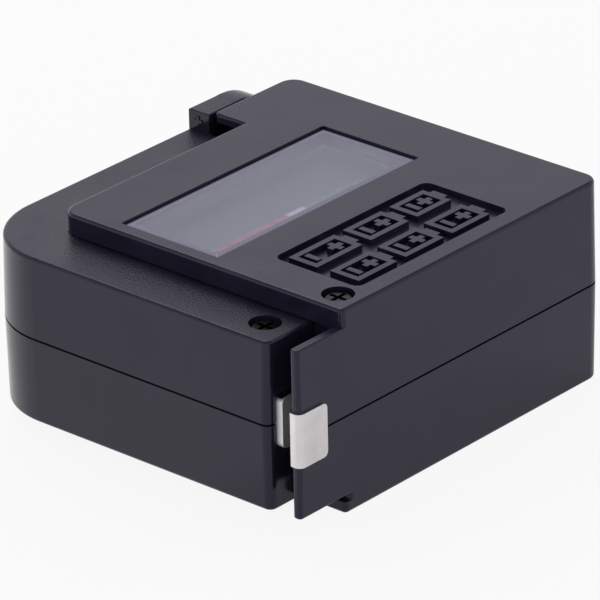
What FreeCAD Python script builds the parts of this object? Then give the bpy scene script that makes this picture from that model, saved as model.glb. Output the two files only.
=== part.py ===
import FreeCAD, Part
import math
import os
from FreeCAD import Vector

# A pocket battery tester, in millimetres. +X runs to the right of someone reading the dial,
# +Y away from them and +Z up. The origin is under the middle of the closed tester.

# Case in plan
plate_width = 54.2          # top plate and base, along X
plate_depth = 50.5          # front face to the plate's rear edge
ledge_left = 37.5           # plate's left edge to the step in its rear edge
ledge_depth = 5.7           # how far the plate's right part runs further back
ledge_thickness = 1.4       # where it overhangs the slider
front_corner_radius = 2.6   # front right
front_left_radius = 0.8     # where the jaw starts
rear_corner_radius = 2.6
step_corner_radius = 0.7
case_wall = 1.6
case_draft = 0.2            # walls lean in by this from the seam to the top and to the base

# Heights, each stacked on the one before
base_rise = 1.9             # base face up to the slider's underside
lower_rise = 12.6           # slider's underside up to the seam
upper_rise = 12.1           # seam up to the slider's top
plate_rise = 3.25           # slider's top up to the plate's top
floor_thickness = 2.0
plate_thickness = 1.8
edge_round = 0.5            # top and bottom edges
seam_half = 0.16            # half of the open groove along every seam
seam_depth = 0.5
least_radius = 0.2          # rounds never shrink below this
overcut = 1.0               # cutters run past a face by this
same_place = 1e-6
plate_lap = 0.8             # plate and base reach over the slider by this
lap_clear = 0.2

# Jaw and its contact
jaw_reach = 8.7             # slider arm, left of the plate
jaw_out = 0.7               # jaw's end past the arm's outer face
jaw_thickness = 1.6
jaw_over = 0.7              # jaw's top above the slider's top
jaw_lift = 0.85             # jaw's underside above the slider's underside
clip_thickness = 0.35
clip_width = 5.5            # pad on the jaw's front face
clip_height = 7.8
clip_corner = 0.8
clip_below_seam = 4.0

# Slider
jaw_slot = 4.15             # jaw to the arm's end when closed
narrow_depth = 4.0          # rear strip behind the plate's ledge
slider_wall = 1.6
slider_draft = 0.2
slider_corner_radius = 12.6
arm_corner_radius = 1.3
strip_end_radius = 2.0
slide_gap = 0.3             # slider to case, all round
notch_lead = 0.7            # the strip's notch starts this far left of the plate's step
narrow_wall = 1.2           # walls of the narrow rear strip
contact_inset = 1.6         # contact plate on the arm's end, from the arm's outer face
contact_width = 4.6
contact_depth = 1.1         # its sides are folded back to the arm
contact_lift = 0.5          # its lower edge above the clip's
leg_thickness = 0.35
leg_height = 4.0
leg_tail = 0.4              # clenched behind the end wall
travel = 48.5               # opens the jaws to about 51, for the common round cells

# Thumb grip on the slider
grip_flat = 5.4             # level part of its top
grip_slope = 7.0            # part that falls away to the right
grip_drop = 0.25            # its top below the plate's top
grip_sign = 1.5             # plus on its left face
grip_sign_line = 0.45
grip_sign_proud = 0.15
grip_lip = 1.1              # height that is left at the slope's foot

# Rail, guide and stop
rail_width = 8.0
rail_height = 6.0
rail_clear = 0.1
rail_end_gap = 0.25         # rail's inner end to the front wall
rail_nose_radius = 3.0      # clears the case's inner corner
rail_head_side = 3.0        # head wider than the rail, on its left
rail_head_over = 2.2        # head taller than the rail, above and below
guide_wall = 1.4
rib_thickness = 1.4
rib_first = 8.0             # from the front face
rib_pitch = 14.0
stop_pin_radius = 0.8
stop_pin_over = 1.2         # above the rail
stop_pin_from_end = 1.5
strip_width = 4.0
strip_thickness = 0.3

# Window, lens and scale
window_left = 2.1           # from the plate's left edge
window_front = 23.8         # from the case's front face
window_width = 41.4
window_depth = 17.4
window_corner = 0.2
lens_fit = 0.08
lens_drop = 0.2             # lens below the plate's top
lens_bevel_width = 1.2
lens_bevel_depth = 0.35
lens_flange = 0.4
lens_flange_thickness = 1.0
shade_wall = 1.0            # walls that hang round the window
shade_depth = 3.0
scale_thickness = 0.5
scale_front_lap = 2.2       # scale runs on in front of the window

# Sunk panel with raised signs
panel_left = 6.7
panel_front = 3.2
panel_width = 31.3
panel_depth = 14.8
panel_sink = 0.9
panel_corner = 1.3
sign_sink = 0.1             # signs stay below the plate's top
sign_line = 0.9             # width of the raised lines
cell_nub = 0.8
cell_height = 5.0
plus_size = 2.4
front_row = 3.9             # middle of the front row, from the panel's front edge
rear_row = 10.9
front_row_cells = (7.8, 7.8, 7.8)
rear_row_cells = (9.2, 7.8, 7.0)
sign_gap = 1.0

# Screws
screw_hole_radius = 2.25
screw_head_radius = 2.05
screw_head_height = 1.3
screw_head_sink = 0.5
screw_shank_radius = 1.0
screw_bite = 7.0            # into the lower boss
screw_fit = 0.05
screw_dome = 0.45
cross_half = 1.4            # half the length of the cross's arms
cross_width = 0.6
cross_depth = 0.7
boss_radius = 2.75
case_screw_left = 3.6       # from the plate's left edge
case_screw_front = 4.0      # from the front face
arm_screw_in = 4.8          # from the arm's outer face
arm_screw_back = 4.45       # from the arm's end
arm_boss_radius = 2.3

# Circuit board and meter movement
post_radius = 1.5
post_height = 1.4
board_thickness = 1.2
board_margin = 1.0          # to the case walls
board_front = 7.2           # from the front face
pivot_front = 15.5          # pointer's axis, from the front face
frame_thickness = 1.4
frame_depth = 15.0
column_width = 2.0
column_depth = 6.0
yoke_radius = 10.0
yoke_wall = 2.8
yoke_height = 11.0
yoke_web = 3.0
column_gap = 0.5
coil_half_width = 6.4
coil_bar = 1.1
coil_depth = 3.0
coil_height = 10.4
coil_lift = 1.3
magnet_radius = 4.6
magnet_height = 7.2
staff_radius = 0.5
staff_tip_radius = 0.3
bearing_radius = 1.4
bearing_clear = 0.05
bearing_over = 1.0
bearing_stand = 0.5         # stands out towards the coil
cup_depth = 0.5
bridge_depth = 4.0
bridge_thickness = 1.0
bridge_gap = 2.9            # coil's top to the bridge
hub_radius = 1.2
hub_height = 1.0
hub_lift = 0.5
needle_length = 22.0
needle_width = 0.6
needle_thickness = 0.3
needle_gap = 0.55           # above the scale
riser_radius = 5.6          # where the needle rises past the bridge
tail_length = 4.4
tail_weight_radius = 0.9
zero_angle = 50.0           # needle at rest, to the left of straight back
hairspring_turns = 3
hairspring_pitch = 0.8
hairspring_strip = 0.2
hairspring_height = 0.4
hairspring_reach = 4.2      # outer end, from the axis
hairspring_drop = 1.0       # below the bridge
stud_width = 0.6            # holds the spring's outer end
resistor_radius = 1.2
resistor_length = 6.4
resistor_lead = 0.3
resistor_rise = 1.9         # lead axis above the board
resistor_pitch = 5.0
resistor_span = 10.2        # between the two bent leads
resistor_count = 3
resistor_front = 31.5       # first one, from the front face

# Wiper leaf and side contacts
wiper_width = 3.4
wiper_thickness = 0.3
wiper_foot = 4.0
wiper_length = 12.5
wiper_peak_back = 53.1      # where it rubs on the strip, from the front face
wiper_tip = 0.8
wiper_crest = 0.5           # half of the level part that rubs
wiper_drop = 3.0            # foot below the strip
wiper_room = 0.5            # beside it in the rib
wiper_touch = 0.05
side_contact_count = 2
side_contact_pitch = 12.7
side_contact_radius = 2.6
side_contact_thickness = 0.5
side_contact_front = 14.0
side_contact_height = 6.4
rivet_radius = 1.2
rivet_flange_radius = 1.9

# Places worked out from the sizes above
x_jaw = -(jaw_out + jaw_reach + plate_width) / 2
x_arm = x_jaw + jaw_out
x_plate = x_arm + jaw_reach
x_right = x_plate + plate_width
slider_depth = plate_depth + ledge_depth + slide_gap + narrow_depth
y_front = (clip_thickness - slider_depth) / 2
y_plate = y_front + plate_depth
y_ledge = y_plate + ledge_depth
y_back = y_front + slider_depth
z_under = base_rise
z_seam = z_under + lower_rise
z_slider = z_seam + upper_rise
z_top = z_slider + plate_rise
z_ceiling = z_top - plate_thickness
x_ledge = x_plate + ledge_left
x_rail_right = x_right - case_wall - rail_clear
x_rail_left = x_rail_right - rail_width
x_tunnel = x_rail_left - rail_clear
x_guide = x_tunnel - guide_wall
z_rail_low = z_seam - rail_height / 2
z_rail_high = z_seam + rail_height / 2
y_rail_end = y_front + case_wall + rail_end_gap
y_stop_pin = y_rail_end + stop_pin_from_end
y_stop_rib = y_stop_pin + stop_pin_radius + travel + rail_clear
x_rail_mid = (x_rail_left + x_rail_right) / 2
y_wiper = y_front + wiper_peak_back
z_wiper = z_rail_low - wiper_touch - wiper_thickness - wiper_drop
x_contact_seat = x_right - case_draft - side_contact_thickness
y_arm = y_front + jaw_thickness + jaw_slot
x_wall = x_plate + plate_lap
y_wall = y_plate - plate_lap
x_arm_inner = x_wall - slide_gap
y_strip = y_wall + slide_gap
y_narrow = y_ledge + slide_gap
x_notch = x_ledge - notch_lead
x_arm_screw = x_arm + arm_screw_in
y_arm_screw = y_arm + arm_screw_back
x_leg = x_arm + contact_inset
z_scale = z_ceiling - shade_depth
z_board = floor_thickness + post_height
z_frame = z_board + board_thickness
z_yoke = z_frame + frame_thickness
z_coil = z_yoke + coil_lift
z_coil_top = z_coil + coil_height
z_bridge = z_coil_top + bridge_gap
z_magnet = (z_coil + z_coil_top - magnet_height) / 2
z_hairspring = z_bridge - hairspring_drop
x_pivot = x_plate + window_left + window_width / 2
y_pivot = y_front + pivot_front


# Helpers
def box(x0, x1, y0, y1, z0, z1):
    return Part.makeBox(x1 - x0, y1 - y0, z1 - z0, Vector(x0, y0, z0))


def cylinder(x, y, z0, z1, radius):
    return Part.makeCylinder(radius, z1 - z0, Vector(x, y, z0))


def outline(corners, z):
    """Closed wire through corners (x, y, radius), with a tangent arc at each rounded corner."""
    entries = []
    exits = []
    edges = []
    for i, (x, y, radius) in enumerate(corners):
        here = Vector(x, y, z)
        before = corners[i - 1]
        after = corners[(i + 1) % len(corners)]
        back = (Vector(before[0], before[1], z) - here).normalize()
        ahead = (Vector(after[0], after[1], z) - here).normalize()
        half = back.getAngle(ahead) / 2
        entries.append(here + back * (radius / math.tan(half)))
        exits.append(here + ahead * (radius / math.tan(half)))
        if radius > 0:
            middle = here + (back + ahead).normalize() * (radius / math.sin(half) - radius)
            edges.append(Part.Arc(entries[i], middle, exits[i]).toShape())
        edges.append(None)
    lines = [Part.makeLine(exits[i], entries[(i + 1) % len(corners)]) for i in range(len(corners))]
    return Part.Wire([edge if edge else lines.pop(0) for edge in edges])


def inset(corners, distances):
    """Square-cornered outline with each side moved inwards by its own distance."""
    count = len(corners)
    ways = []
    for i in range(count):
        after = corners[(i + 1) % count]
        ways.append(Vector(after[0] - corners[i][0], after[1] - corners[i][1], 0).normalize())
    moved = []
    for i, (x, y, radius) in enumerate(corners):
        before, after = ways[i - 1], ways[i]
        x_new = x - before.y * distances[i - 1] - after.y * distances[i]
        y_new = y + before.x * distances[i - 1] + after.x * distances[i]
        turn = math.copysign(1, before.x * after.y - before.y * after.x)
        change = turn * (distances[i - 1] + distances[i]) / 2
        moved.append((x_new, y_new, max(radius - change, least_radius) if radius > 0 else 0))
    return moved


def prism(*levels):
    """Solid through outlines that share their number of corners, given as (corners, height)."""
    return Part.makeLoft([outline(corners, z) for corners, z in levels], True, True)


def rectangle(x0, x1, y0, y1, radius):
    return [(x0, y0, radius), (x1, y0, radius), (x1, y1, radius), (x0, y1, radius)]


def round_level(shape, z, radius, kept_sharp=None):
    """Round the edges that lie at one height, apart from those that are kept sharp."""
    edges = [edge for edge in shape.Edges if all(abs(v.Z - z) < same_place for v in edge.Vertexes)]
    edges = [edge for edge in edges if not (kept_sharp and kept_sharp(edge))]
    return shape.makeFillet(radius, edges)


def turned(shape, degrees):
    """Turn a shape about the pointer's axis."""
    copy = shape.copy()
    copy.rotate(Vector(x_pivot, y_pivot, 0), Vector(0, 0, 1), degrees)
    return copy


# Case
def plan(x_left, y_rear, x_step):
    """Case in plan: a square whose right part runs further back."""
    return [
        (x_left, y_front, front_left_radius),
        (x_right, y_front, front_corner_radius),
        (x_right, y_ledge, rear_corner_radius),
        (x_step, y_ledge, step_corner_radius),
        (x_step, y_rear, 0),
        (x_left, y_rear, rear_corner_radius),
    ]


case_lean = (case_draft, case_draft, 0, 0, 0, 0)
case_walls = (case_wall, case_wall, case_wall, guide_wall, case_wall, case_wall)


def lean_at(z, z_end):
    z_step = z_seam + math.copysign(seam_half, z_end - z_seam)
    return [lean * (z - z_step) / (z_end - z_step) for lean in case_lean]


def half_block(outer, lean, z_end, end_round, kept_sharp=None):
    """Block from the seam to one end, stepped in at the seam to leave half of the groove."""
    way = math.copysign(1, z_end - z_seam)
    z_step = z_seam + way * seam_half
    lip = inset(outer, (seam_depth,) * len(outer))
    block = prism(*sorted([(outer, z_step), (inset(outer, lean), z_end)], key=lambda level: level[1]))
    if end_round > 0:
        block = round_level(block, z_end, end_round, kept_sharp)
    step = prism(*sorted([(lip, z_seam), (lip, z_step + way * seam_half)], key=lambda level: level[1]))
    return block.fuse(step)


def jaw_half(z_end, z_case_end):
    """One half of the jaw: the front wall, carried on to the left and rounded at its end."""
    end = jaw_thickness / 2 - clip_thickness / 2
    x_end = x_jaw + clip_thickness
    x_root = x_wall + 2 * front_left_radius
    corners = [
        (x_end, y_front, end),
        (x_root, y_front, 0),
        (x_root, y_front + jaw_thickness, 0),
        (x_end, y_front + jaw_thickness, end),
    ]
    lean = lean_at(z_end, z_case_end)[0]
    return half_block(corners, (lean, 0, 0, 0), z_end, edge_round / 2)


def rail_opening():
    """Way for the rail through the guide's rear wall."""
    return box(x_rail_left - rail_clear, x_rail_right + rail_clear, y_ledge - 2 * case_wall,
               y_ledge + case_wall, z_rail_low - rail_clear, z_rail_high + rail_clear)


def jaw_tail_slot():
    """Way for the jaw contact's tail through the case's left wall."""
    y0 = y_front + jaw_thickness - clip_thickness
    return box(x_plate - case_wall, x_plate + 2 * case_wall, y0,
               y_front + jaw_thickness + clip_thickness + rail_clear,
               z_seam - clip_below_seam - rail_clear,
               z_seam - clip_below_seam + clip_height + rail_clear)


def panel_signs(z0, z1):
    """Raised outlines of round cells, each with a plus at its nub end and a minus at the other."""
    signs = []
    for row, lengths in ((front_row, front_row_cells), (rear_row, rear_row_cells)):
        total = sum(lengths) + sign_gap * (len(lengths) - 1) + cell_nub * len(lengths)
        x = x_plate + panel_left + (panel_width - total) / 2
        y = y_front + panel_front + row
        for length in lengths:
            signs += cell_sign(x, y, length, z0, z1)
            x += length + cell_nub + sign_gap
    return signs


def cell_sign(x, y, length, z0, z1):
    half = cell_height / 2
    bar = sign_line / 2
    frame = box(x, x + length, y - half, y + half, z0, z1)
    hole = box(x + sign_line, x + length - sign_line, y - half + sign_line, y + half - sign_line, z0, z1)
    nub = box(x + length, x + length + cell_nub, y - half / 2, y + half / 2, z0, z1)
    x_plus = x + length - sign_line - plus_size / 2 - bar
    x_minus = x + sign_line + plus_size / 2
    plus_wide = box(x_plus - plus_size / 2, x_plus + plus_size / 2, y - bar, y + bar, z0, z1)
    plus_tall = box(x_plus - bar, x_plus + bar, y - plus_size / 2, y + plus_size / 2, z0, z1)
    minus = box(x_minus - bar, x_minus + bar, y - plus_size / 2, y + plus_size / 2, z0, z1)
    return [frame.cut(hole).fuse(nub), plus_wide.fuse(plus_tall), minus]


def window_rectangle(margin):
    return rectangle(x_plate + window_left - margin, x_plate + window_left + window_width + margin,
                     y_front + window_front - margin,
                     y_front + window_front + window_depth + margin, window_corner)


def upper_case():
    outer = plan(x_wall, y_wall, x_guide)
    top = plan(x_plate, y_plate, x_ledge)
    z_lap = z_slider + lap_clear
    plate = prism((inset(top, lean_at(z_lap, z_top)), z_lap), (inset(top, case_lean), z_top))
    plate = plate.cut(box(x_ledge - case_wall, x_guide, y_plate, y_back, z_slider, z_top - ledge_thickness))
    shell = half_block(outer, case_lean, z_top, 0).fuse(plate).removeSplitter()
    shell = round_level(shell, z_top, edge_round)
    shell = shell.fuse(jaw_half(z_slider + jaw_over, z_top))
    inner = inset(outer, case_walls)
    shell = shell.cut(prism((inner, z_seam - overcut), (inner, z_ceiling)))
    x_screw = x_plate + case_screw_left
    y_screw = y_front + case_screw_front
    x_shade = x_plate + window_left - lens_flange - lens_fit
    x_shade_end = x_plate + window_left + window_width + lens_flange + lens_fit
    y_shade_end = y_front + window_front + window_depth + lens_flange + lens_fit
    shade = box(x_wall + case_wall / 2, x_shade_end + shade_wall, y_front + window_front,
                y_shade_end + shade_wall, z_scale, z_ceiling)
    shade = shade.cut(box(x_shade, x_shade_end, y_front, y_shade_end, z_scale, z_ceiling))
    inside = [
        cylinder(x_screw, y_screw, z_seam, z_ceiling, boss_radius),
        shade,
        box(x_guide, x_tunnel, y_front + case_wall / 2, y_wall, z_seam, z_scale - scale_thickness),
        box(x_guide + guide_wall / 2, x_right - case_wall / 2, y_stop_rib, y_stop_rib + rib_thickness,
            z_rail_high + rail_clear, z_ceiling),
    ]
    shell = shell.fuse(inside)
    z_panel = z_top - panel_sink
    panel = rectangle(x_plate + panel_left, x_plate + panel_left + panel_width, y_front + panel_front,
                      y_front + panel_front + panel_depth, panel_corner)
    sunk = prism((panel, z_panel), (panel, z_top + overcut)).cut(panel_signs(z_panel, z_top - sign_sink))
    window = window_rectangle(0)
    flange = window_rectangle(lens_flange + lens_fit)
    return shell.cut([
        sunk,
        prism((flange, z_ceiling - lens_flange_thickness - lens_fit), (flange, z_ceiling)),
        prism((window, z_ceiling - overcut), (window, z_top + overcut)),
        cylinder(x_screw, y_screw, z_top - screw_head_sink - screw_head_height, z_top + overcut,
                 screw_hole_radius),
        cylinder(x_screw, y_screw, z_seam - overcut, z_top, screw_shank_radius + screw_fit),
        rail_opening(),
        jaw_tail_slot(),
    ])


def board_posts():
    x0 = x_wall + case_wall + board_margin + post_radius
    x1 = x_guide - board_margin - post_radius
    y0 = y_front + board_front + post_radius
    y1 = y_wall - case_wall - board_margin - post_radius
    return [(x, y) for x in (x0, x1) for y in (y0, y1)]


def side_contact_places():
    return [y_front + side_contact_front + side_contact_pitch * i for i in range(side_contact_count)]


def lower_case():
    outer = plan(x_wall, y_wall, x_guide)
    foot = plan(x_plate, y_plate, x_notch - plate_lap)
    z_lap = z_under - lap_clear
    base = prism((inset(foot, case_lean), 0), (inset(foot, lean_at(z_lap, 0)), z_lap))
    shell = half_block(outer, case_lean, 0, 0).fuse(base).removeSplitter()
    shell = round_level(shell, 0, edge_round)
    shell = shell.fuse(jaw_half(z_under + jaw_lift, 0))
    inner = inset(outer, case_walls)
    shell = shell.cut(prism((inner, floor_thickness), (inner, z_seam + overcut)))
    x_screw = x_plate + case_screw_left
    y_screw = y_front + case_screw_front
    inside = [
        cylinder(x_screw, y_screw, floor_thickness / 2, z_seam, boss_radius),
        box(x_guide, x_tunnel, y_front + case_wall / 2, y_wall, floor_thickness / 2, z_seam),
    ]
    inside += [cylinder(x, y, floor_thickness / 2, z_board, post_radius) for x, y in board_posts()]
    inside += rail_ribs()
    inside.append(wiper_shelf())
    shell = shell.fuse(inside)
    cuts = [
        cylinder(x_screw, y_screw, z_seam - screw_bite, z_seam + overcut, screw_shank_radius + screw_fit),
        rail_opening(),
        jaw_tail_slot(),
    ]
    for y in side_contact_places():
        shank_start = Vector(x_right - 2 * case_wall, y, side_contact_height)
        seat = Vector(x_contact_seat, y, side_contact_height)
        cuts.append(Part.makeCylinder(rivet_radius + screw_fit, 3 * case_wall, shank_start, Vector(1, 0, 0)))
        cuts.append(Part.makeCylinder(side_contact_radius + screw_fit, case_wall, seat, Vector(1, 0, 0)))
    return shell.cut(cuts)


def rail_ribs():
    """Ribs under the rail, the last one notched for the wiper."""
    ribs = []
    for y in (y_front + rib_first, y_front + rib_first + rib_pitch, y_stop_rib):
        ribs.append(box(x_guide + guide_wall / 2, x_right - case_wall / 2, y, y + rib_thickness,
                        floor_thickness / 2, z_rail_low - rail_clear))
    half = wiper_width / 2 + wiper_room
    ribs[-1] = ribs[-1].cut(box(x_rail_mid - half, x_rail_mid + half, y_stop_rib,
                                y_stop_rib + rib_thickness, z_wiper, z_rail_low))
    return ribs


def case_screw():
    return screw(x_plate + case_screw_left, y_front + case_screw_front, z_top - screw_head_sink)


def screw(x, y, z_head):
    """Domed cross-head screw that reaches into the lower boss."""
    z0 = z_head - screw_head_height
    head = cylinder(x, y, z0, z_head, screw_head_radius)
    head = round_level(head, z_head, screw_dome)
    z_cross = z_head - cross_depth
    cross = box(x - cross_half, x + cross_half, y - cross_width / 2, y + cross_width / 2,
                z_cross, z_head + overcut)
    cross = cross.fuse(box(x - cross_width / 2, x + cross_width / 2, y - cross_half, y + cross_half,
                           z_cross, z_head + overcut))
    shank = cylinder(x, y, z_seam - screw_bite, z0, screw_shank_radius)
    return head.fuse(shank).cut(cross)


def window_lens():
    """Stepped lens: a flange below the plate and a bevelled block that fills the opening."""
    z_face = z_top - lens_drop
    block = window_rectangle(-lens_fit)
    face = window_rectangle(-lens_fit - lens_bevel_width)
    flange = window_rectangle(lens_flange)
    lens = prism((block, z_ceiling - lens_flange_thickness), (block, z_face - lens_bevel_depth),
                 (face, z_face))
    return lens.fuse(prism((flange, z_ceiling - lens_flange_thickness), (flange, z_ceiling)))


def scale_plate():
    return box(x_wall + case_wall + lens_fit,
               x_plate + window_left + window_width + lens_flange + shade_wall,
               y_front + window_front - scale_front_lap,
               y_front + window_front + window_depth + lens_flange + shade_wall,
               z_scale - scale_thickness, z_scale)


# Jaw contact, wiper and side contacts
def jaw_contact():
    """Strip folded round the jaw's end: a pad in front, the contact behind and a tail into the case."""
    end = jaw_thickness / 2 - clip_thickness / 2
    x_end = x_jaw + clip_thickness
    x_pad = x_jaw + clip_width
    x_tail = x_plate + 2 * case_wall - rail_clear
    y_rear = y_front + jaw_thickness
    z0 = z_seam - clip_below_seam
    z1 = z0 + clip_height
    corners = [
        (x_jaw, y_front - clip_thickness, end + clip_thickness),
        (x_pad, y_front - clip_thickness, 0),
        (x_pad, y_front, 0),
        (x_end, y_front, end),
        (x_end, y_rear, end),
        (x_tail, y_rear, 0),
        (x_tail, y_rear + clip_thickness, 0),
        (x_jaw, y_rear + clip_thickness, end + clip_thickness),
    ]
    clip = prism((corners, z0), (corners, z1))
    pad_edges = [edge for edge in clip.Edges
                 if all(abs(v.X - x_pad) < same_place for v in edge.Vertexes)
                 and abs(edge.Vertexes[0].Y - edge.Vertexes[1].Y) > clip_thickness / 2]
    return clip.makeFillet(clip_corner, pad_edges)


def wiper_shelf():
    y0 = y_wiper - wiper_length - wiper_foot
    return box(x_guide + guide_wall / 2, x_right - case_wall / 2, y0, y0 + wiper_foot,
               floor_thickness / 2, z_wiper)


def wiper_spring():
    """Leaf on its shelf below the rail, bowed up to rub on the rail's strip."""
    y0 = y_wiper - wiper_length - wiper_foot
    z_peak = z_rail_low - wiper_touch
    line = [(y0, z_wiper), (y0 + wiper_foot, z_wiper), (y_wiper - wiper_crest, z_peak - wiper_thickness),
            (y_wiper + wiper_crest, z_peak - wiper_thickness),
            (y_wiper + wiper_crest + wiper_tip, z_peak - wiper_thickness - wiper_tip / 2)]
    x0 = x_rail_mid - wiper_width / 2
    under = [Vector(x0, y, z) for y, z in line]
    over = [Vector(x0, y, z + wiper_thickness) for y, z in reversed(line)]
    side = Part.Face(Part.makePolygon(under + over + under[:1]))
    return side.extrude(Vector(wiper_width, 0, 0))


def side_contacts():
    """Two riveted contacts, set as far apart as the studs of a block battery."""
    rivets = []
    for y in side_contact_places():
        axis = Vector(1, 0, 0)
        inside = x_right - case_wall - side_contact_thickness
        head = Part.makeCylinder(side_contact_radius, side_contact_thickness,
                                 Vector(x_contact_seat, y, side_contact_height), axis)
        shank = Part.makeCylinder(rivet_radius, x_contact_seat - inside,
                                  Vector(inside, y, side_contact_height), axis)
        flange = Part.makeCylinder(rivet_flange_radius, side_contact_thickness,
                                   Vector(inside, y, side_contact_height), axis)
        rivets.append(head.fuse([shank, flange]))
    return Part.makeCompound(rivets)


# Slider
def slider_corners():
    """Arm along the case's left side and strip along its back, notched for the rail's guide."""
    return [
        (x_arm, y_arm, arm_corner_radius),
        (x_arm_inner, y_arm, 0),
        (x_arm_inner, y_strip, step_corner_radius),
        (x_notch, y_strip, step_corner_radius),
        (x_notch, y_narrow, step_corner_radius),
        (x_right, y_narrow, 0),
        (x_right, y_back, strip_end_radius),
        (x_arm, y_back, slider_corner_radius),
    ]


def faces_case(edge):
    """Edges of the slider that run along the case, under its plate or over its base."""
    return all(v.X > x_arm_inner - same_place and v.Y < y_narrow + same_place for v in edge.Vertexes)


slider_lean = (0, 0, 0, 0, 0, slider_draft, slider_draft, slider_draft)
slider_walls = (slider_wall,) * 4 + (narrow_wall,) * 3 + (slider_wall,)


def rail_neck_way():
    """Way for the rail's neck through the narrow strip's front wall."""
    return box(x_rail_left - screw_fit, x_rail_right + screw_fit, y_narrow - narrow_wall,
               y_narrow + 2 * narrow_wall, z_rail_low - screw_fit, z_rail_high + screw_fit)


def contact_leg_way():
    """Slot in the arm's end wall for the contact's leg."""
    return box(x_leg - screw_fit, x_leg + leg_thickness + screw_fit, y_arm - slider_wall,
               y_arm + 2 * slider_wall, z_seam - leg_height / 2 - screw_fit,
               z_seam + leg_height / 2 + screw_fit)


def thumb_grip():
    x0 = x_notch
    x1 = x0 + grip_flat
    x2 = x1 + grip_slope
    z_foot = z_slider + grip_lip
    z_grip = z_top - grip_drop
    y0 = y_narrow
    z_root = z_slider - slider_wall / 2
    bulge = Vector((x1 + x2) / 2 + grip_lip / 2, y0, (z_grip + z_foot) / 2 + grip_lip / 2)
    ring = [
        Part.makeLine(Vector(x0, y0, z_root), Vector(x0, y0, z_grip)),
        Part.makeLine(Vector(x0, y0, z_grip), Vector(x1, y0, z_grip)),
        Part.Arc(Vector(x1, y0, z_grip), bulge, Vector(x2, y0, z_foot)).toShape(),
        Part.makeLine(Vector(x2, y0, z_foot), Vector(x2, y0, z_root)),
        Part.makeLine(Vector(x2, y0, z_root), Vector(x0, y0, z_root)),
    ]
    grip = Part.Face(Part.Wire(ring)).extrude(Vector(0, y_back - slider_draft - y0, 0))
    upper = [edge for edge in grip.Edges if min(v.Z for v in edge.Vertexes) > z_slider]
    grip = grip.makeFillet(edge_round / 2, upper)
    y_sign = (y0 + y_back) / 2
    z_sign = (z_slider + z_grip) / 2
    line = grip_sign_line / 2
    reach = grip_sign / 2
    x_sign = x0 - grip_sign_proud
    x_root = x0 + edge_round
    level = box(x_sign, x_root, y_sign - reach, y_sign + reach, z_sign - line, z_sign + line)
    upright = box(x_sign, x_root, y_sign - line, y_sign + line, z_sign - reach, z_sign + reach)
    return grip.fuse([level, upright])


def slider_upper_shell():
    outer = slider_corners()
    shell = half_block(outer, slider_lean, z_slider, edge_round, faces_case)
    shell = shell.fuse(thumb_grip())
    inner = inset(outer, slider_walls)
    shell = shell.cut(prism((inner, z_seam - overcut), (inner, z_slider - slider_wall)))
    shell = shell.fuse(cylinder(x_arm_screw, y_arm_screw, z_seam, z_slider - slider_wall / 2,
                                arm_boss_radius))
    return shell.cut([
        cylinder(x_arm_screw, y_arm_screw, z_slider - screw_head_sink - screw_head_height,
                 z_slider + overcut, screw_hole_radius),
        cylinder(x_arm_screw, y_arm_screw, z_seam - overcut, z_slider, screw_shank_radius + screw_fit),
        rail_neck_way(),
        contact_leg_way(),
    ])


def slider_lower_shell():
    outer = slider_corners()
    shell = half_block(outer, slider_lean, z_under, edge_round, faces_case)
    inner = inset(outer, slider_walls)
    shell = shell.cut(prism((inner, z_under + slider_wall), (inner, z_seam + overcut)))
    shell = shell.fuse(cylinder(x_arm_screw, y_arm_screw, z_under + slider_wall / 2, z_seam,
                                arm_boss_radius))
    return shell.cut([
        cylinder(x_arm_screw, y_arm_screw, z_seam - screw_bite, z_seam + overcut,
                 screw_shank_radius + screw_fit),
        rail_neck_way(),
        contact_leg_way(),
    ])


def slider_screw():
    return screw(x_arm_screw, y_arm_screw, z_slider - screw_head_sink)


def slider_contact():
    """Strip on the arm's end: a pad with its sides folded back, and a leg clenched through the end wall."""
    z0 = z_seam - clip_below_seam + contact_lift
    x1 = x_leg + contact_width
    corners = rectangle(x_leg, x1, 0, clip_height - contact_lift, clip_corner)
    pad = prism((corners, 0), (corners, contact_depth))
    pad.rotate(Vector(0, 0, 0), Vector(1, 0, 0), 90)
    pad.translate(Vector(0, y_arm, z0))
    pad = pad.cut(box(x_leg + leg_thickness, x1 - leg_thickness, y_arm - contact_depth + leg_thickness,
                      y_arm + overcut, z_under, z_slider))
    leg = box(x_leg, x_leg + leg_thickness, y_arm - leg_thickness, y_arm + slider_wall + leg_tail,
              z_seam - leg_height / 2, z_seam + leg_height / 2)
    return pad.fuse(leg)


def slide_rail():
    y_head = y_narrow + narrow_wall + screw_fit
    y_head_end = y_back - narrow_wall - screw_fit
    corners = [(x_rail_left, y_rail_end, 0), (x_rail_right, y_rail_end, rail_nose_radius),
               (x_rail_right, y_head_end, 0), (x_rail_left, y_head_end, 0)]
    bar = prism((corners, z_rail_low), (corners, z_rail_high))
    head = box(x_rail_left - rail_head_side, x_rail_right, y_head, y_head_end,
               z_rail_low - rail_head_over, z_rail_high + rail_head_over)
    return bar.fuse(head).cut([
        rail_contact_strip(),
        cylinder(x_rail_mid, y_stop_pin, z_seam, z_rail_high + overcut, stop_pin_radius),
    ])


def rail_contact_strip():
    """Metal strip let into the rail's underside."""
    return box(x_rail_mid - strip_width / 2, x_rail_mid + strip_width / 2, y_rail_end,
               y_narrow + narrow_wall, z_rail_low, z_rail_low + strip_thickness)


def rail_stop_pin():
    return cylinder(x_rail_mid, y_stop_pin, z_seam, z_rail_high + stop_pin_over, stop_pin_radius)


# Circuit board and meter movement
def circuit_board():
    return box(x_wall + case_wall + board_margin, x_guide - board_margin, y_front + board_front,
               y_wall - case_wall - board_margin, z_board, z_frame)


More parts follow.
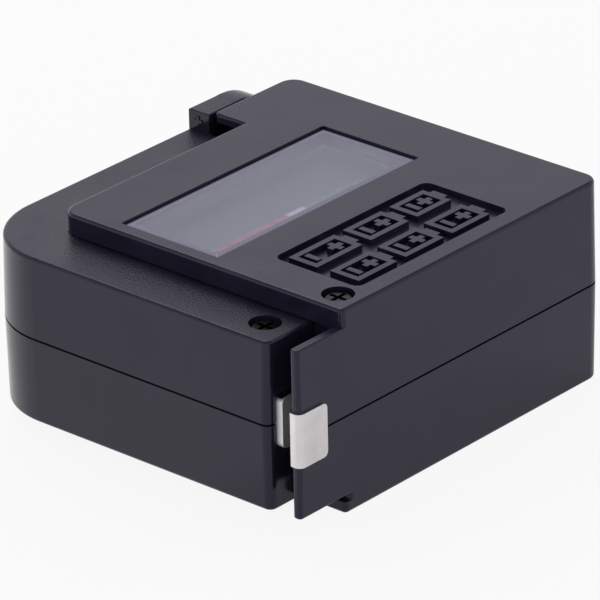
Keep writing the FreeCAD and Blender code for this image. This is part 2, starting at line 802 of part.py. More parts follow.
def resistors():
    """Axial resistors with their leads bent down to the board."""
    group = []
    for i in range(resistor_count):
        y = y_front + resistor_front + resistor_pitch * i
        z = z_frame + resistor_rise
        x0 = x_pivot - resistor_span / 2
        side = Vector(1, 0, 0)
        body = Part.makeCylinder(resistor_radius, resistor_length,
                                 Vector(x_pivot - resistor_length / 2, y, z), side)
        lead = Part.makeCylinder(resistor_lead, resistor_span, Vector(x0, y, z), side)
        legs = [cylinder(x, y, z_frame, z, resistor_lead) for x in (x0, x0 + resistor_span)]
        bends = [Part.makeSphere(resistor_lead, Vector(x, y, z)) for x in (x0, x0 + resistor_span)]
        group.append(body.fuse([lead] + legs + bends))
    return Part.makeCompound(group)


def movement_frame():
    """Plate on the board with two columns that carry the bridge."""
    x_out = yoke_radius + column_gap + column_width
    plate = box(x_pivot - x_out, x_pivot + x_out, y_pivot - frame_depth / 2, y_pivot + frame_depth / 2,
                z_frame, z_yoke)
    columns = [box(x, x + column_width, y_pivot - column_depth / 2, y_pivot + column_depth / 2,
                   z_frame, z_bridge) for x in (x_pivot - x_out, x_pivot + x_out - column_width)]
    return plate.fuse(columns).cut(cylinder(x_pivot, y_pivot, z_frame, z_yoke, bearing_radius))


def magnet_yoke():
    """Soft iron ring, with two webs that hold the magnet clear of the coil."""
    z1 = z_yoke + yoke_height
    ring = cylinder(x_pivot, y_pivot, z_yoke, z1, yoke_radius)
    ring = ring.cut(cylinder(x_pivot, y_pivot, z_yoke, z1, yoke_radius - yoke_wall))
    web = box(x_pivot - yoke_web / 2, x_pivot + yoke_web / 2, y_pivot - yoke_radius + yoke_wall / 2,
              y_pivot + yoke_radius - yoke_wall / 2, z_magnet, z_magnet + magnet_height)
    return ring.fuse(web).cut(cylinder(x_pivot, y_pivot, z_yoke, z1, magnet_radius))


def core_magnet():
    return cylinder(x_pivot, y_pivot, z_magnet, z_magnet + magnet_height, magnet_radius)


def moving_coil():
    """Wound rectangular former round the magnet, turned to where the needle rests."""
    wide = coil_half_width
    coil = box(x_pivot - wide, x_pivot + wide, y_pivot - coil_depth / 2, y_pivot + coil_depth / 2,
               z_coil, z_coil_top)
    coil = coil.cut(box(x_pivot - wide + coil_bar, x_pivot + wide - coil_bar, y_pivot - coil_depth,
                        y_pivot + coil_depth, z_coil + coil_bar, z_coil_top - coil_bar))
    return turned(coil, zero_angle)


def pivot_staffs():
    """Two staffs on the coil, each with a fine tip that runs in a cup."""
    low_cup, high_cup = bearing_cups()
    lower = cylinder(x_pivot, y_pivot, low_cup + bearing_clear, z_coil, staff_radius)
    lower = lower.fuse(cylinder(x_pivot, y_pivot, low_cup - cup_depth + bearing_clear, z_coil,
                                staff_tip_radius))
    upper = cylinder(x_pivot, y_pivot, z_coil_top, high_cup - bearing_clear, staff_radius)
    upper = upper.fuse(cylinder(x_pivot, y_pivot, z_coil_top, high_cup + cup_depth - bearing_clear,
                                staff_tip_radius))
    return Part.makeCompound([lower, upper])


def bearing_cups():
    """Heights of the two bearing faces."""
    return z_yoke + bearing_stand, z_bridge - bearing_stand


def bearing_screws():
    low_cup, high_cup = bearing_cups()
    hole = staff_tip_radius + bearing_clear
    lower = cylinder(x_pivot, y_pivot, z_frame, low_cup, bearing_radius)
    lower = lower.cut(cylinder(x_pivot, y_pivot, low_cup - cup_depth, low_cup, hole))
    upper = cylinder(x_pivot, y_pivot, high_cup, z_bridge + bridge_thickness + bearing_over, bearing_radius)
    upper = upper.cut(cylinder(x_pivot, y_pivot, high_cup, high_cup + cup_depth, hole))
    return Part.makeCompound([lower, upper])


def movement_bridge():
    """Strip across the columns, with the bearing's hole and the stud of the hairspring."""
    x_out = yoke_radius + column_gap + column_width
    strip = box(x_pivot - x_out, x_pivot + x_out, y_pivot - bridge_depth / 2, y_pivot + bridge_depth / 2,
                z_bridge, z_bridge + bridge_thickness)
    stud = box(x_pivot + hairspring_reach, x_pivot + hairspring_reach + stud_width,
               y_pivot - bridge_depth / 4, y_pivot + bridge_depth / 4, z_hairspring, z_bridge)
    hole = cylinder(x_pivot, y_pivot, z_bridge - overcut, z_bridge + 2 * bridge_thickness, bearing_radius)
    return strip.fuse(stud).cut(hole)


def hairspring():
    """Flat spiral of half turns, from the staff out to the bridge's stud."""
    def spiral(reach):
        arcs = []
        for half in range(2 * hairspring_turns):
            side = 1 if half % 2 == 0 else -1
            start = side * (reach - half * hairspring_pitch / 2)
            end = -side * (reach - (half + 1) * hairspring_pitch / 2)
            depth = side * (abs(start) + abs(end)) / 2
            points = ((start, 0), ((start + end) / 2, depth), (end, 0))
            places = [Vector(x_pivot + x, y_pivot + y, z_hairspring) for x, y in points]
            arcs.append(Part.Arc(*places).toShape())
        return arcs
    outer = spiral(hairspring_reach)
    inner = spiral(hairspring_reach - hairspring_strip)
    caps = [Part.makeLine(outer[0].Vertexes[0].Point, inner[0].Vertexes[0].Point),
            Part.makeLine(outer[-1].Vertexes[1].Point, inner[-1].Vertexes[1].Point)]
    wire = Part.Wire(outer + [caps[1]] + inner[::-1] + [caps[0]])
    return Part.Face(wire).extrude(Vector(0, 0, hairspring_height))


def pointer():
    """Needle on a hub: out below the bridge, up past it and over the scale, with a tail weight."""
    z_hub = z_coil_top + hub_lift
    z_needle = z_scale + needle_gap
    half = needle_width / 2
    hub = cylinder(x_pivot, y_pivot, z_hub, z_hub + hub_height, hub_radius)
    arm = box(x_pivot - half, x_pivot + half, y_pivot - tail_length, y_pivot + riser_radius + half,
              z_hub, z_hub + needle_thickness)
    riser = box(x_pivot - half, x_pivot + half, y_pivot + riser_radius - half, y_pivot + riser_radius + half,
                z_hub, z_needle + needle_thickness)
    needle = box(x_pivot - half, x_pivot + half, y_pivot + riser_radius - half, y_pivot + needle_length,
                 z_needle, z_needle + needle_thickness)
    weight = cylinder(x_pivot, y_pivot - tail_length, z_hub, z_hub + hub_height, tail_weight_radius)
    whole = hub.fuse([arm, riser, needle, weight])
    return turned(whole.cut(cylinder(x_pivot, y_pivot, z_hub, z_hub + hub_height, staff_radius)), zero_angle)


parts = {
    "upper_case": upper_case,
    "lower_case": lower_case,
    "case_screw": case_screw,
    "window_lens": window_lens,
    "scale_plate": scale_plate,
    "jaw_contact": jaw_contact,
    "wiper_spring": wiper_spring,
    "side_contacts": side_contacts,
    "circuit_board": circuit_board,
    "resistors": resistors,
    "movement_frame": movement_frame,
    "magnet_yoke": magnet_yoke,
    "core_magnet": core_magnet,
    "movement_bridge": movement_bridge,
    "bearing_screws": bearing_screws,
    "moving_coil": moving_coil,
    "pivot_staffs": pivot_staffs,
    "hairspring": hairspring,
    "pointer": pointer,
    "slider_upper_shell": slider_upper_shell,
    "slider_lower_shell": slider_lower_shell,
    "slider_screw": slider_screw,
    "slider_contact": slider_contact,
    "slide_rail": slide_rail,
    "rail_contact_strip": rail_contact_strip,
    "rail_stop_pin": rail_stop_pin,
}

os.makedirs("parts", exist_ok=True)
for name, make in parts.items():
    shape = make()
    shape.exportStep("parts/" + name + ".step")
    print(name, shape.isValid(), len(shape.Solids), round(shape.Volume, 2))
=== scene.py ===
# %% [markdown]
# # A pocket battery tester
# The solids of the tester are already built at their real size. This lesson dresses them: plastic
# with a moulded grain, a clear lens over a printed scale, plated contacts and blackened screws. It
# starts by loading the solids as a fixed frame and keeping their box.

# %% Load the frame
import bmesh
import bpy
from mathutils import Matrix, Vector


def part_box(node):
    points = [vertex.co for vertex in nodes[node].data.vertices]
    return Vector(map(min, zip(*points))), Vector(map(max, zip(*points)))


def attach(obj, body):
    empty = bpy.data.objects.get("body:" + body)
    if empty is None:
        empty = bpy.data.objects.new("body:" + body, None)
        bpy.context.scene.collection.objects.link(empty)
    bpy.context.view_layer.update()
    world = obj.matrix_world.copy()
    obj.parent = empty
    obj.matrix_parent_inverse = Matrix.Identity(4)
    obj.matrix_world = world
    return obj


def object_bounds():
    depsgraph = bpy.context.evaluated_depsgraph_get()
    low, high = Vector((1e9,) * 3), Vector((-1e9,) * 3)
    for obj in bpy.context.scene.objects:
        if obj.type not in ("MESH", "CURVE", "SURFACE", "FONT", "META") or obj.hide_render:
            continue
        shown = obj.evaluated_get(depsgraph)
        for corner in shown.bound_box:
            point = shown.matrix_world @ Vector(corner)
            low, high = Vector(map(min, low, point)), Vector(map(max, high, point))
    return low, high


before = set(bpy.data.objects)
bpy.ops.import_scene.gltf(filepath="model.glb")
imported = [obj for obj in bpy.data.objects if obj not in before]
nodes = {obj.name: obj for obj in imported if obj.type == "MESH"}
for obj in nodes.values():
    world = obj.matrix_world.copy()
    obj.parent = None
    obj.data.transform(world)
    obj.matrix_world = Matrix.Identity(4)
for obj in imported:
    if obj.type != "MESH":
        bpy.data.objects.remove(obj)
scene = bpy.context.scene
cad_box = [list(corner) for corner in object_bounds()]
MM = 0.001
print("nodes:", len(nodes), "box in mm:", [round((b - a) / MM, 2) for a, b in zip(*cad_box)])

# %% [markdown]
# ## The camera
# A product picture like this one is taken from far away with a long lens, so parallel edges stay
# nearly parallel. The eye stands in front of the tester's left corner, about 25 degrees above it.
# The camera is set from three vectors: where it stands, where it looks and which way is up.

# %% Set the camera
EYE = Vector((-553.20, -494.80, 367.30)) * MM
LOOK = Vector((0.67466, 0.60018, -0.42968)).normalized()
UP = Vector((0.33539, 0.26930, 0.90277))
LENS = 361.2
SENSOR = 36.0

right = LOOK.cross(UP).normalized()
level = right.cross(LOOK)
camera_data = bpy.data.cameras.new("camera")
camera_data.lens = LENS
camera_data.sensor_width = SENSOR
camera_data.clip_end = 20
camera = bpy.data.objects.new("camera", camera_data)
turn = Matrix((right, level, -LOOK)).transposed()
camera.matrix_world = Matrix.Translation(EYE) @ turn.to_4x4()
scene.collection.objects.link(camera)
scene.camera = camera
scene.view_settings.view_transform = "Standard"
print("camera", round(EYE.length, 3), "m from the origin")

# %% [markdown]
# ## Patterns for the finishes
# Every finish below is a small tree of shader nodes, and a few helpers keep the trees short. One adds
# a node and sets its inputs, one makes a noise in the object's own coordinates, and the others turn a
# noise into a range of values, a colour or a bump. Object coordinates are in metres, so a noise scale
# of 2000 gives grains of about half a millimetre, at the same size on every piece.


# %% Helpers for patterns
def add(tree, kind, **inputs):
    """Add a node of the given kind, with inputs named by their sockets."""
    node = tree.nodes.new(kind)
    for name, value in inputs.items():
        node.inputs[name.replace("_", " ")].default_value = value
    return node


def noise(tree, scale, detail=3.0, stretch=None):
    """Noise in object coordinates; stretch squeezes it along an axis for brushed marks."""
    place = tree.nodes.new("ShaderNodeTexCoord").outputs["Object"]
    if stretch:
        mapping = add(tree, "ShaderNodeMapping", Scale=stretch)
        tree.links.new(place, mapping.inputs["Vector"])
        place = mapping.outputs["Vector"]
    grain = add(tree, "ShaderNodeTexNoise", Scale=scale, Detail=detail)
    tree.links.new(place, grain.inputs["Vector"])
    return grain.outputs["Fac"]


def follow(tree, value, low, high, to_low, to_high):
    """Map a value's range onto another one, clamped at both ends."""
    node = add(tree, "ShaderNodeMapRange", From_Min=low, From_Max=high, To_Min=to_low, To_Max=to_high)
    tree.links.new(value, node.inputs["Value"])
    return node.outputs["Result"]


def spread(tree, pattern, low, high):
    """Map a noise's middle values onto a range."""
    return follow(tree, pattern, 0.3, 0.7, low, high)


def tint(tree, pattern, dark, light):
    """Mix two colours by a pattern."""
    ramp = tree.nodes.new("ShaderNodeValToRGB")
    ramp.color_ramp.elements[0].position = 0.3
    ramp.color_ramp.elements[1].position = 0.7
    ramp.color_ramp.elements[0].color = (*dark, 1)
    ramp.color_ramp.elements[1].color = (*light, 1)
    tree.links.new(pattern, ramp.inputs["Fac"])
    return ramp.outputs["Color"]


def bump(tree, pattern, height):
    """A bump node whose height is in metres."""
    node = add(tree, "ShaderNodeBump", Distance=height)
    tree.links.new(pattern, node.inputs["Height"])
    return node


print("pattern helpers ready")

# %% [markdown]
# ## Places and faces
# Some finishes change from place to place: a top is grained where a wall is smooth, and a lens is
# clear on its faces but dull on its rim. A face's own normal tells which is which, so nothing has to
# be painted by hand. The last helper starts a material and sets its constant inputs.


# %% Helpers for places
def combine(tree, operation, first, second):
    """Join two values with a math operation."""
    node = tree.nodes.new("ShaderNodeMath")
    node.operation = operation
    tree.links.new(first, node.inputs[0])
    tree.links.new(second, node.inputs[1])
    return node.outputs["Value"]


def coordinate(tree, kind, axis):
    """One axis of a coordinate, such as Object or Normal."""
    parts = tree.nodes.new("ShaderNodeSeparateXYZ")
    tree.links.new(tree.nodes.new("ShaderNodeTexCoord").outputs[kind], parts.inputs["Vector"])
    return parts.outputs[axis]


def level_faces(tree, tilted=0.90, flat=0.98):
    """1 on faces that lie flat, 0 on walls and rounded edges."""
    size = tree.nodes.new("ShaderNodeMath")
    size.operation = "ABSOLUTE"
    tree.links.new(coordinate(tree, "Normal", "Z"), size.inputs[0])
    return follow(tree, size.outputs["Value"], tilted, flat, 0.0, 1.0)


def finish(name, **constants):
    """A new material, its tree and its main shader with constant inputs set on the sockets."""
    material = bpy.data.materials.new(name)
    material.use_nodes = True
    shader = material.node_tree.nodes["Principled BSDF"]
    for socket, value in constants.items():
        shader.inputs[socket.replace("_", " ")].default_value = value
    return material, material.node_tree, shader


print("place helpers ready")

# %% [markdown]
# ## Colour by place
# Some surfaces of one solid get another colour than the rest; here that colour is painted light. The
# first helper below makes a mask from a range of places, and the second lays a colour over the finish
# where a mask is 1.


# %% Helpers for colour by place
def within(tree, axis, low, high, edge=0.01 * MM):
    """1 where one axis of the place lies between two values, else 0."""
    place = coordinate(tree, "Object", axis)
    above = follow(tree, place, low - edge, low, 0.0, 1.0)
    below = follow(tree, place, high, high + edge, 1.0, 0.0)
    return combine(tree, "MULTIPLY", above, below)


def paint(tree, where, colour):
    """Lay a colour over the base colour where a mask is 1."""
    base = tree.nodes["Principled BSDF"].inputs["Base Color"]
    layer = tree.nodes.new("ShaderNodeMix")
    layer.data_type = "RGBA"
    layer.inputs[7].default_value = (*colour, 1)
    tree.links.new(where, layer.inputs[0])
    tree.links.new(base.links[0].from_socket, layer.inputs[6])
    tree.links.new(layer.outputs[2], base)


print("colour helpers ready")

# %% [markdown]
# ## Moulded plastic
# Case and slider are the same black plastic with a cool cast. The case is a smooth satin all over.
# The slider's top comes from a spark-eroded mould and has a fine grain, while its walls slid out of
# the mould and are glossier. A second, wide noise shifts the colour and the gloss a little, as
# handling does.


# %% Plastic finishes
def moulded(name, dark, light, top_gloss, wall_gloss, grain_scale, grain_height):
    material, tree, shader = finish(name, IOR=1.44, Specular_Tint=(0.86, 0.84, 1.0, 1))
    patches = noise(tree, 140, 4.0)
    level = level_faces(tree)
    gloss = follow(tree, level, 0.0, 1.0, wall_gloss, top_gloss)
    gloss = combine(tree, "ADD", gloss, spread(tree, patches, -0.04, 0.05))
    grain = bump(tree, noise(tree, grain_scale, 2.0), grain_height)
    tree.links.new(follow(tree, level, 0.0, 1.0, 0.06, 1.0), grain.inputs["Strength"])
    tree.links.new(tint(tree, patches, dark, light), shader.inputs["Base Color"])
    tree.links.new(gloss, shader.inputs["Roughness"])
    tree.links.new(grain.outputs["Normal"], shader.inputs["Normal"])
    return material


case_finish = moulded("case_satin_black", (0.0110, 0.0102, 0.0225), (0.0150, 0.0142, 0.0285),
                      0.25, 0.15, 5200, 0.000008)
slider_finish = moulded("slider_grained_black", (0.0115, 0.0105, 0.021), (0.016, 0.015, 0.027),
                        0.40, 0.14, 3000, 0.00008)
inner_finish = moulded("inner_plain_black", (0.012, 0.012, 0.013), (0.02, 0.02, 0.022),
                       0.5, 0.5, 2500, 0.00002)
print("plastics:", case_finish.name, slider_finish.name, inner_finish.name)

# %% [markdown]
# ## Window walls with painted light
# Below the lens the case has a short wall round the dial. Its inside is painted pale as painted light,
# so that it shows through the lens as a light band along the back and the right. The wall is part
# of the case, so the colour is chosen by place.

# %% Window walls with painted light
WALL_PAINTED_LIGHT = (0.72, 0.72, 0.82)
WALL_MARGIN = 0.2 * MM
WALL_DEPTH = 5 * MM
DARK_LIP = 0.5 * MM
lens_low, lens_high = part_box("window_lens")
tree = case_finish.node_tree
inside_x = within(tree, "X", lens_low.x - WALL_MARGIN, lens_high.x + WALL_MARGIN)
inside_y = within(tree, "Y", lens_low.y - WALL_MARGIN, lens_high.y + WALL_MARGIN)
inside_z = within(tree, "Z", lens_low.z - WALL_DEPTH, lens_high.z - DARK_LIP)
painted_light_area = combine(tree, "MULTIPLY", combine(tree, "MULTIPLY", inside_x, inside_y), inside_z)
# Painted light: the pale colour goes on the wall's inside, below a dark top lip.
paint(tree, painted_light_area, WALL_PAINTED_LIGHT)
print("window walls are pale below z", round((lens_high.z - DARK_LIP) / MM, 2), "mm")

# %% [markdown]
# ## Metals
# The contacts are thin strip with a bright plating, drawn out along one way, so their gloss and bump
# follow a noise that is squeezed along that way. The slider's contact is tinned and duller. The
# screws are blackened steel. Brass, copper, iron and the stamped bridge are inside, and use the same
# recipe with other colours.


# %% Metal finishes
def plated(name, dark, light, gloss, stretch, height=0.000004, uneven=0.16):
    material, tree, shader = finish(name, Metallic=1.0)
    marks = noise(tree, 900, 3.0, stretch)
    stains = noise(tree, 260, 4.0)
    rough = spread(tree, marks, gloss - 0.4 * uneven, gloss + 0.6 * uneven)
    tree.links.new(tint(tree, stains, dark, light), shader.inputs["Base Color"])
    tree.links.new(rough, shader.inputs["Roughness"])
    tree.links.new(bump(tree, marks, height).outputs["Normal"], shader.inputs["Normal"])
    return material


contact_finish = plated("contact_plating", (0.68, 0.64, 0.64), (0.80, 0.775, 0.77), 0.26, (1, 1, 6),
                        0.0000003, 0.03)
strip_finish = plated("strip_tinning", (0.82, 0.80, 0.80), (0.90, 0.89, 0.89), 0.5, (1, 1, 6),
                      0.0000003, 0.03)
screw_finish = plated("screw_blackened", (0.012, 0.012, 0.014), (0.03, 0.03, 0.033), 0.18, (1, 1, 1))
brass_finish = plated("spring_brass", (0.55, 0.40, 0.17), (0.70, 0.53, 0.25), 0.3, (1, 6, 1))
iron_finish = plated("soft_iron", (0.24, 0.24, 0.25), (0.34, 0.34, 0.35), 0.45, (1, 1, 4))
magnet_finish = plated("sintered_magnet", (0.10, 0.10, 0.105), (0.16, 0.16, 0.165), 0.5, (1, 1, 1))
bridge_finish = plated("stamped_bridge", (0.58, 0.58, 0.59), (0.70, 0.70, 0.71), 0.35, (1, 6, 1))
copper_finish = plated("coil_copper", (0.42, 0.16, 0.06), (0.58, 0.25, 0.10), 0.3, (0.2, 0.2, 9), 0.00004)
print("metals ready")

# %% [markdown]
# ## Clear lens
# The lens is clear acrylic with a trace of blue: nearly all light goes through its faces, and a small
# share is scattered as haze. A band along the back and the right lets less through and shows more of
# the pale base colour: a painted light band where the far walls are seen through the lens. The
# bevelled rim is dull, as moulded edges are, and the upright sides are painted the walls' pale colour
# as painted light, standing for those walls seen through them. Faint wipe marks vary the gloss of the
# faces.

# %% Lens finish
CLEAR_SHARE = 0.935
PAINTED_BAND_SHARE = 0.875
FAR_PAINTED_BAND = 4.4 * MM
BAND_EDGE = 0.3 * MM
x_painted_band = lens_high.x - FAR_PAINTED_BAND
y_painted_band = lens_high.y - FAR_PAINTED_BAND

lens_finish, tree, shader = finish("clear_acrylic", IOR=1.49, Specular_Tint=(0.90, 0.93, 1.0, 1))
face = level_faces(tree, 0.97, 0.99)
across = coordinate(tree, "Object", "X")
along = coordinate(tree, "Object", "Y")
# Painted light: along the back and the right the lens lets less through, so it looks lighter there.
right_painted_share = follow(tree, across, x_painted_band - BAND_EDGE, x_painted_band + BAND_EDGE, CLEAR_SHARE, PAINTED_BAND_SHARE)
back_painted_share = follow(tree, along, y_painted_band - BAND_EDGE, y_painted_band + BAND_EDGE, CLEAR_SHARE, PAINTED_BAND_SHARE)
clear = combine(tree, "MULTIPLY", face, combine(tree, "MINIMUM", right_painted_share, back_painted_share))
wipes = spread(tree, noise(tree, 120, 4.0, (1, 4, 1)), 0.03, 0.09)
gloss = combine(tree, "MAXIMUM", follow(tree, face, 0.0, 1.0, 0.5, 0.0), wipes)
tree.links.new(clear, shader.inputs["Transmission Weight"])
tree.links.new(tint(tree, face, (0.34, 0.33, 0.41), (0.86, 0.87, 1.0)), shader.inputs["Base Color"])
# Painted light: the upright sides take the walls' pale colour instead of showing them through clear
# plastic.
paint(tree, follow(tree, level_faces(tree, 0.2, 0.5), 0.0, 1.0, 1.0, 0.0), WALL_PAINTED_LIGHT)
tree.links.new(gloss, shader.inputs["Roughness"])
tree.links.new(follow(tree, face, 0.0, 1.0, 0.05, 0.5), shader.inputs["Specular IOR Level"])
print("lens:", lens_finish.name, "clear share", CLEAR_SHARE)

# %% [markdown]
# ## Lacquer and print
# The board is lacquered green with a wide noise for the copper below, and the resistors are pale and
# glossy. The dial is slate, the needle grey, and the scale's print is red, white and green. All of
# them share one recipe: a cloudy colour, a gloss that follows it and a very fine bump.


# %% Lacquer finishes
def lacquered(name, dark, light, gloss, scale):
    material, tree, shader = finish(name, IOR=1.52)
    cloud = noise(tree, scale, 4.0)
    tree.links.new(tint(tree, cloud, dark, light), shader.inputs["Base Color"])
    tree.links.new(spread(tree, cloud, gloss - 0.05, gloss + 0.08), shader.inputs["Roughness"])
    grain = bump(tree, noise(tree, scale * 8), 0.000006)
    tree.links.new(grain.outputs["Normal"], shader.inputs["Normal"])
    return material


board_finish = lacquered("board_green", (0.012, 0.06, 0.025), (0.02, 0.10, 0.045), 0.3, 300)
resistor_finish = lacquered("resistor_beige", (0.42, 0.29, 0.16), (0.55, 0.40, 0.24), 0.28, 700)
needle_finish = lacquered("needle_grey", (0.07, 0.07, 0.075), (0.09, 0.09, 0.095), 0.4, 900)
dial_finish = lacquered("dial_slate", (0.009, 0.021, 0.028), (0.014, 0.029, 0.037), 0.5, 600)
red_finish = lacquered("print_red", (0.42, 0.03, 0.05), (0.52, 0.05, 0.07), 0.5, 800)
white_finish = lacquered("print_white", (0.52, 0.52, 0.54), (0.62, 0.62, 0.64), 0.5, 800)
green_finish = lacquered("print_green", (0.025, 0.13, 0.06), (0.035, 0.17, 0.08), 0.5, 800)
print("lacquers ready")

# %% [markdown]
# ## Putting the finishes on the solids
# Each solid keeps its mesh and its place, and only gets a finish in its material slot. A table from
# finish to solids is easier to read than one line per solid, and its count shows at once if a solid
# was forgotten.

# %% Assign finishes
finish_of = {
    case_finish: ("upper_case", "lower_case"),
    slider_finish: ("slider_upper_shell", "slider_lower_shell"),
    inner_finish: ("movement_frame", "slide_rail"),
    contact_finish: ("jaw_contact", "side_contacts"),
    strip_finish: ("slider_contact",),
    screw_finish: ("case_screw", "slider_screw", "rail_stop_pin", "pivot_staffs"),
    brass_finish: ("wiper_spring", "rail_contact_strip", "bearing_screws", "hairspring"),
    iron_finish: ("magnet_yoke",),
    magnet_finish: ("core_magnet",),
    bridge_finish: ("movement_bridge",),
    copper_finish: ("moving_coil",),
    lens_finish: ("window_lens",),
    board_finish: ("circuit_board",),
    resistor_finish: ("resistors",),
    needle_finish: ("pointer",),
    dial_finish: ("scale_plate",),
}
for material, names in finish_of.items():
    for name in names:
        nodes[name].data.materials.clear()
        nodes[name].data.materials.append(material)
print("dressed", sum(len(names) for names in finish_of.values()), "of", len(nodes))

# %% [markdown]
# ## The printed scale
# The dial below the lens carries a band in three colours, a row of ticks and plain numbers. Print has
# almost no thickness, so each mark is a plate a few hundredths of a millimetre thick that lies on the
# scale plate and rides with the case. One helper adds a piece to the case, and another makes a mesh
# of flat bars.


# %% Helpers for flat marks
def new_piece(name, mesh, material, body):
    piece = bpy.data.objects.new(name, mesh)
    scene.collection.objects.link(piece)
    mesh.materials.append(material)
    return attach(piece, body)


def flat_bars(name, bars, z, thickness, material, body):
    """One mesh of flat bars, each (x0, x1, y0, y1), lying at height z."""
    work = bmesh.new()
    for x0, x1, y0, y1 in bars:
        made = bmesh.ops.create_cube(work, size=1.0)
        for vertex in made["verts"]:
            vertex.co.x = x0 + (x1 - x0) * (vertex.co.x + 0.5)
            vertex.co.y = y0 + (y1 - y0) * (vertex.co.y + 0.5)
            vertex.co.z = z + thickness * (vertex.co.z + 0.5)
    mesh = bpy.data.meshes.new(name)
    work.to_mesh(mesh)
    work.free()
    return new_piece(name, mesh, material, body)


PRINT = 0.03 * MM
scale_low, scale_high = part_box("scale_plate")
Z_PRINT = scale_high.z + 0.005 * MM
x_middle = (lens_low.x + lens_high.x) / 2
print("scale plate", [round(v / MM, 2) for v in scale_low], [round(v / MM, 2) for v in scale_high])

# %% [markdown]
# ## Band and ticks
# The band has three zones, each a share of its width: red, a short white one, and green. The ticks
# stand in front of it, every sixth one longer.

# %% Band and ticks
BAND_FRONT = lens_low.y + 4.9 * MM
BAND_DEPTH = 1.9 * MM
BAND_HALF = 15.5 * MM
BAND_GAP = 0.2 * MM
TICK_WIDTH = 0.3 * MM
TICK_LENGTH = 0.7 * MM
LONG_TICK = 1.6
TICK_COUNT = 13

x_left = x_middle - BAND_HALF
zones = {
    "band_red": (red_finish, 0.0, 0.5),
    "band_white": (white_finish, 0.5, 0.62),
    "band_green": (green_finish, 0.62, 1.0),
}
for name, (material, start, end) in zones.items():
    x0 = x_left + 2 * BAND_HALF * start
    x1 = x_left + 2 * BAND_HALF * end - BAND_GAP
    bar = (x0, x1, BAND_FRONT, BAND_FRONT + BAND_DEPTH)
    flat_bars(name, [bar], Z_PRINT, PRINT, material, "case")

ticks = []
for i in range(TICK_COUNT):
    x = x_left + 2 * BAND_HALF * i / (TICK_COUNT - 1)
    length = TICK_LENGTH * (LONG_TICK if i % 6 == 0 else 1.0)
    y1 = BAND_FRONT - BAND_GAP
    ticks.append((x - TICK_WIDTH / 2, x + TICK_WIDTH / 2, y1 - length, y1))
flat_bars("scale_ticks", ticks, Z_PRINT, PRINT, white_finish, "case")
print("band", round(2 * BAND_HALF / MM, 1), "mm wide,", len(ticks), "ticks")

# %% [markdown]
# ## Numbers
# The long ticks are numbered. Each number is text turned into a mesh, then moved beside its tick.

# %% Numbers
NUMBER_SIZE = 1.7 * MM
NUMBER_FRONT = 2.3 * MM
NUMBER_SHIFT = 1.2 * MM

for i, words in enumerate(("0", "5", "10")):
    curve = bpy.data.curves.new("number_curve", "FONT")
    curve.body = words
    curve.size = NUMBER_SIZE
    curve.align_x = "CENTER"
    curve.extrude = PRINT / 2
    holder = bpy.data.objects.new("number_holder", curve)
    mesh = bpy.data.meshes.new_from_object(holder)
    mesh.materials.clear()
    x = x_left + i * BAND_HALF + NUMBER_SHIFT
    place = Vector((x, BAND_FRONT - NUMBER_FRONT, Z_PRINT + PRINT / 2))
    mesh.transform(Matrix.Translation(place))
    bpy.data.objects.remove(holder)
    new_piece("scale_number_" + words, mesh, white_finish, "case")
print("scale printed")

# %% [markdown]
# ## The room
# The room is white to the camera and through the lens. What it sends onto the tester is plain light
# with a trace of violet, bright at the walls and darker at the ceiling, so the top plate stays dark.

# %% Room
WALL_LIGHT = 0.90
CEILING_LIGHT = 0.43
ROOM_CAST = (0.93, 0.91, 1.0)

world = bpy.data.worlds.new("white_room")
scene.world = world
world.use_nodes = True
room = world.node_tree
background = room.nodes["Background"]
path = room.nodes.new("ShaderNodeLightPath")
seen = combine(room, "MAXIMUM", path.outputs["Is Camera Ray"], path.outputs["Is Transmission Ray"])
height = coordinate(room, "Generated", "Z")
walls = follow(room, height, 0.35, 0.75, WALL_LIGHT, CEILING_LIGHT)
room.links.new(tint(room, seen, ROOM_CAST, (1, 1, 1)), background.inputs["Color"])
room.links.new(combine(room, "MAXIMUM", seen, walls), background.inputs["Strength"])
print("room:", world.name)

# %% [markdown]
# ## The floor
# The floor is pale and takes the soft shadow. It is mixed with plain white so that it meets the
# background, and mirrors see that white too, less of it in front of the tester.

# %% Floor
FLOOR_SIZE = 4.0
WHITE_SHARE = 0.9
MIRROR_LOW = 0.52
MIRROR_HIGH = 0.95
FADE_FRONT = -26 * MM
FADE_BACK = -8 * MM

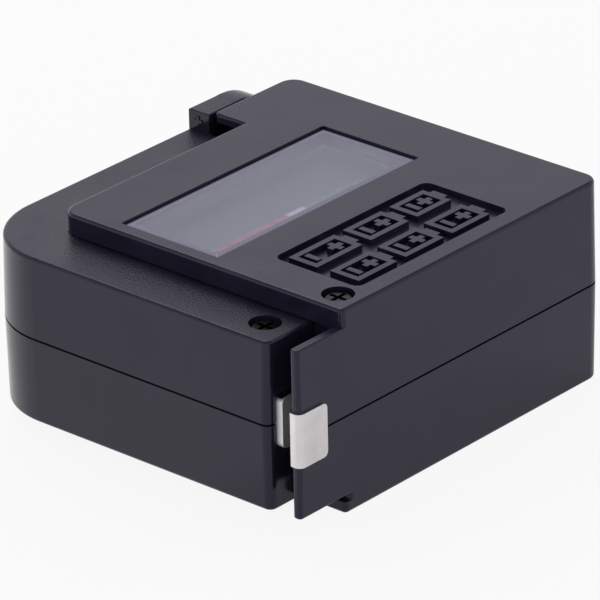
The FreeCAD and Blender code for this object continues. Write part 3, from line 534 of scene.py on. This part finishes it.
floor_mesh = bpy.data.meshes.new("floor")
work = bmesh.new()
bmesh.ops.create_grid(work, x_segments=4, y_segments=4, size=FLOOR_SIZE)
work.to_mesh(floor_mesh)
work.free()
floor = bpy.data.objects.new("floor", floor_mesh)
floor.location.z = cad_box[0][2] - 0.05 * MM
scene.collection.objects.link(floor)

floor_finish, tree, shader = finish("floor_white", Roughness=0.9, Base_Color=(0.9, 0.9, 0.9, 1))
path = tree.nodes.new("ShaderNodeLightPath")
seen = combine(tree, "MAXIMUM", path.outputs["Is Camera Ray"], path.outputs["Is Transmission Ray"])
direct = follow(tree, seen, 0.0, 1.0, 0.0, WHITE_SHARE)
fade = follow(tree, coordinate(tree, "Object", "Y"), FADE_FRONT, FADE_BACK, MIRROR_LOW, MIRROR_HIGH)
mirrored = combine(tree, "MULTIPLY", path.outputs["Is Glossy Ray"], fade)
glow = add(tree, "ShaderNodeEmission", Color=(1, 1, 1, 1), Strength=1.0)
blend = tree.nodes.new("ShaderNodeMixShader")
tree.links.new(combine(tree, "MAXIMUM", direct, mirrored), blend.inputs["Fac"])
tree.links.new(shader.outputs["BSDF"], blend.inputs[1])
tree.links.new(glow.outputs["Emission"], blend.inputs[2])
tree.links.new(blend.outputs["Shader"], tree.nodes["Material Output"].inputs["Surface"])
floor_mesh.materials.append(floor_finish)
print("floor laid, white share", WHITE_SHARE)

# %% [markdown]
# ## The lamps
# A wide lamp above the back gives the plate its sheen. A low weak one behind the tester lights the
# far edges. Both are soft, because they are large next to the tester.


# %% Lamps
def lamp(name, place, aim, size, power):
    data = bpy.data.lights.new(name, "AREA")
    data.size = size
    data.energy = power
    light = bpy.data.objects.new(name, data)
    light.location = place
    light.rotation_euler = (Vector(aim) - Vector(place)).to_track_quat("-Z", "Y").to_euler()
    scene.collection.objects.link(light)


lamp("key_lamp", (0.18, 0.30, 0.50), (0, 0, 0.02), 0.35, 0.8)
lamp("back_lamp", (0.55, 0.55, 0.06), (0, 0, 0.02), 0.4, 0.15)
print("lamps:", [light.name for light in bpy.data.lights])
